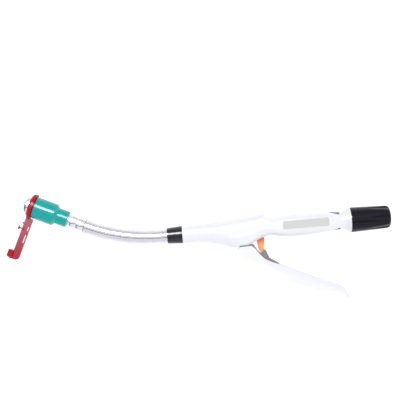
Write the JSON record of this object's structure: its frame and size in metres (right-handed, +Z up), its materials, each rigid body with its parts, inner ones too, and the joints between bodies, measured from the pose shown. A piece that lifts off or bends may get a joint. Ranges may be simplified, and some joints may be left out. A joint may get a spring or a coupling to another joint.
{
  "type": "circular stapler",
  "caption": "Hand-held surgical stapler with a curved shaft, domed anvil, staple casing, squeeze lever, safety latch, adjusting knob and a pull-off transport clip.",
  "frame": {"origin": "centre of the flat on the lower cheek that the handle lies on, on the handle's axis", "axes": "+X along the handle towards the knob, -Y towards the lever, +Z up, away from the cheek it lies on"},
  "size_m": [0.4567, 0.1538, 0.031],
  "materials": {
    "white_shell": "white moulded ABS, satin gloss",
    "white_lever": "white moulded ABS, satin gloss",
    "white_plastic": "white moulded plastic",
    "label": "blank pale grey-green plate",
    "steel": "bright stainless steel",
    "polished_steel": "polished stainless steel",
    "black_plastic": "black moulded plastic, satin gloss",
    "black_gloss": "black moulded plastic, high gloss",
    "clear_sleeve": "clear glossy tubing",
    "natural_plastic": "natural uncoloured plastic",
    "teal_plastic": "teal moulded plastic, gloss",
    "red_plastic": "red translucent moulded plastic",
    "brass": "machined brass",
    "grey_plastic": "grey moulded plastic",
    "orange_plastic": "orange moulded plastic, satin"
  },
  "bodies": {
    "root": {"left_shell": "white_shell", "right_shell": "white_shell", "label_plate": "label", "shell_screws": "steel", "shaft_collar": "black_plastic", "shaft_tube": "polished_steel", "clear_sleeve": "clear_sleeve", "push_tube": "natural_plastic", "pull_band": "steel", "end_ferrule": "polished_steel", "casing": "teal_plastic", "staple_guide": "white_plastic", "screw_guide": "grey_plastic", "lever_pin": "steel", "latch_pin": "steel", "return_spring": "steel"},
    "knob": {"adjusting_knob": "black_gloss", "knob_end_cap": "black_gloss", "knob_sleeve": "black_plastic", "drive_nut": "brass", "thrust_washer": "natural_plastic"},
    "screw": {"drive_screw": "steel"},
    "trocar": {"trocar": "steel"},
    "anvil": {"anvil_stem": "polished_steel", "anvil_cap": "polished_steel", "anvil_washer": "white_plastic"},
    "clip": {"transport_clip": "red_plastic"},
    "lever": {"lever_core": "grey_plastic", "lever_cover": "white_lever"},
    "slide": {"firing_slide": "grey_plastic"},
    "driver": {"driver_tube": "natural_plastic", "staple_pusher": "natural_plastic", "circular_knife": "steel", "staples": "steel"},
    "latch": {"safety_latch": "orange_plastic"}
  },
  "joints": [
    {"name": "knob_turn", "type": "hinge", "parent": "root", "child": "knob", "pos_m": [0.12, 0, 0.0155], "axis": [1, 0, 0], "range_deg": [0, 1800]},
    {"name": "screw_slide", "type": "slide", "parent": "root", "child": "screw", "axis": [-1, 0, 0], "range_m": [0, 0.0251]},
    {"name": "anvil_travel", "type": "slide", "parent": "root", "child": "trocar", "axis": [-0.9033, 0.4289, 0], "range_m": [0, 0.0251]},
    {"name": "anvil_release", "type": "slide", "parent": "trocar", "child": "anvil", "axis": [-0.9033, 0.4289, 0], "range_m": [0, 0.03]},
    {"name": "clip_pull", "type": "slide", "parent": "root", "child": "clip", "axis": [-0.4289, -0.9033, 0], "range_m": [0, 0.04]},
    {"name": "lever_squeeze", "type": "hinge", "parent": "root", "child": "lever", "pos_m": [-0.009, -0.0125, 0.0155], "axis": [0, 0, 1], "range_deg": [0, 24], "stiffness_Nm_per_rad": 0.12, "springref_deg": -20.05},
    {"name": "firing_slide_stroke", "type": "slide", "parent": "root", "child": "slide", "axis": [-1, 0, 0], "range_m": [0, 0.0053], "deforming": ["return_spring"]},
    {"name": "driver_stroke", "type": "slide", "parent": "root", "child": "driver", "axis": [-0.9033, 0.4289, 0], "range_m": [0, 0.0053]},
    {"name": "latch_swing", "type": "hinge", "parent": "root", "child": "latch", "pos_m": [0.013, -0.0086, 0.0155], "axis": [0, 0, 1], "range_deg": [0, 55]}
  ],
  "couplings": [
    {"joint": "screw_slide", "follows": "knob_turn", "m_per_rad": 0.00079577},
    {"joint": "anvil_travel", "follows": "knob_turn", "m_per_rad": 0.00079577},
    {"joint": "firing_slide_stroke", "follows": "lever_squeeze", "m_per_rad": 0.012414},
    {"joint": "driver_stroke", "follows": "lever_squeeze", "m_per_rad": 0.012414}
  ]
}
